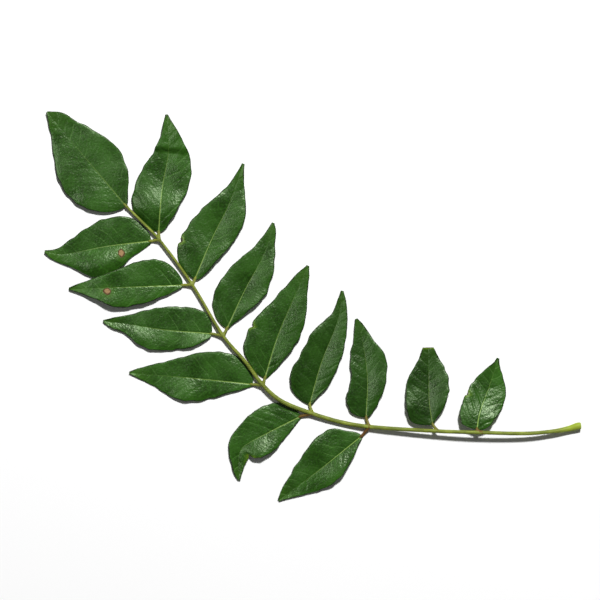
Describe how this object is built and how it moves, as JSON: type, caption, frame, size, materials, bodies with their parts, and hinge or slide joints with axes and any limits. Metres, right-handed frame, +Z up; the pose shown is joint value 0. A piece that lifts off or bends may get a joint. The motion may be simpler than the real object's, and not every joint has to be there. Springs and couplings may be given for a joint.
{
  "type": "curry leaf sprig",
  "caption": "A pinnate curry leaf cut from its twig: a slender stalk with a swollen base and glossy pointed leaflets, lying flat with its upper side up.",
  "frame": {"origin": "under the middle of the sprig's bounding box, on the surface that it lies on", "axes": "+X along the sprig towards the cut base of its stalk, +Y across it towards the tips of its right-hand leaflets, +Z up from the surface, with the leaf's upper side up"},
  "size_m": [0.1665, 0.1213, 0.0039],
  "materials": {
    "leaf": "living leaf, dark green, satin gloss on the upper side",
    "stalk": "green stalk, yellow-green, smooth satin"
  },
  "bodies": {
    "root": {"rachis": "stalk", "leaflet_terminal": "leaf", "leaflet_right_1": "leaf", "leaflet_right_2": "leaf", "leaflet_right_3": "leaf", "leaflet_right_4": "leaf", "leaflet_right_5": "leaf", "leaflet_right_6": "leaf", "leaflet_right_7": "leaf", "leaflet_right_8": "leaf", "leaflet_left_1": "leaf", "leaflet_left_2": "leaf", "leaflet_left_3": "leaf", "leaflet_left_4": "leaf", "leaflet_left_5": "leaf", "leaflet_left_6": "leaf"}
  },
  "joints": []
}
